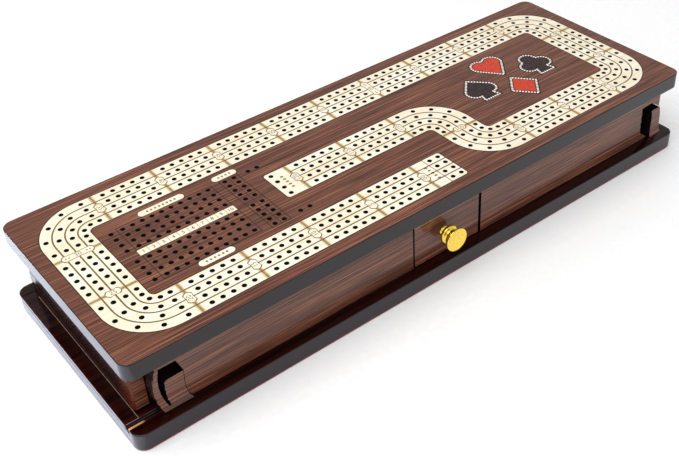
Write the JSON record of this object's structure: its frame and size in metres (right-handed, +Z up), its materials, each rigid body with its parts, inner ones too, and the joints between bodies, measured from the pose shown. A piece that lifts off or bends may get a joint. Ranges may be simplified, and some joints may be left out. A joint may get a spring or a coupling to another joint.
{
  "type": "cribbage board",
  "caption": "Cribbage board with a continuous inlaid peg track on a shallow wooden box with fretted corners, a front drawer with a brass knob and an end tray for cards.",
  "frame": {"origin": "centre of the felt underside, where the board rests on the table", "axes": "+X to the right along the board's length as seen from the drawer side, +Y to the back, +Z up"},
  "size_m": [0.4174, 0.151, 0.0593],
  "materials": {
    "wenge_veneer": "satin varnish, dark streaked brown",
    "dark_lacquer": "high gloss, near black red-brown",
    "maple_inlay": "satin, ivory",
    "rope_line": "satin, off-white",
    "red_inlay": "satin, dyed red",
    "black_inlay": "satin, dyed black",
    "plain_wood": "unfinished, light brown",
    "polished_brass": "polished",
    "screw_steel": "plain",
    "crimson_felt": "matt pile"
  },
  "bodies": {
    "box": {"top_board": "wenge_veneer", "front_left_panel": "wenge_veneer", "front_right_panel": "wenge_veneer", "rear_panel": "wenge_veneer", "front_left_bracket": "wenge_veneer", "front_right_bracket": "wenge_veneer", "rear_left_bracket": "wenge_veneer", "rear_right_bracket": "wenge_veneer", "base_board": "dark_lacquer", "right_end_panel": "dark_lacquer", "track_inlay": "maple_inlay", "games_won_plate": "maple_inlay", "corner_plate": "maple_inlay", "skunks_plate": "maple_inlay", "number_strip": "maple_inlay", "heart_rope": "rope_line", "spade_rope": "rope_line", "club_rope": "rope_line", "diamond_rope": "rope_line", "heart_inlay": "red_inlay", "diamond_inlay": "red_inlay", "spade_inlay": "black_inlay", "club_inlay": "black_inlay", "left_partition": "plain_wood", "right_partition": "plain_wood", "left_drawer_runner": "plain_wood", "right_drawer_runner": "plain_wood", "front_guide_rail": "plain_wood", "felt_pad": "crimson_felt"},
    "drawer": {"drawer_front": "wenge_veneer", "drawer_left_side": "plain_wood", "drawer_right_side": "plain_wood", "drawer_back": "plain_wood", "drawer_bottom": "plain_wood", "knob": "polished_brass", "knob_screw": "screw_steel"},
    "card_tray": {"tray_front": "dark_lacquer", "tray_bottom": "dark_lacquer", "tray_front_side": "dark_lacquer", "tray_rear_side": "dark_lacquer", "tray_back": "dark_lacquer"}
  },
  "joints": [
    {"name": "drawer_slide", "type": "slide", "parent": "box", "child": "drawer", "axis": [0, -1, 0], "range_m": [0, 0.09]},
    {"name": "tray_slide", "type": "slide", "parent": "box", "child": "card_tray", "axis": [-1, 0, 0], "range_m": [0, 0.14]}
  ]
}
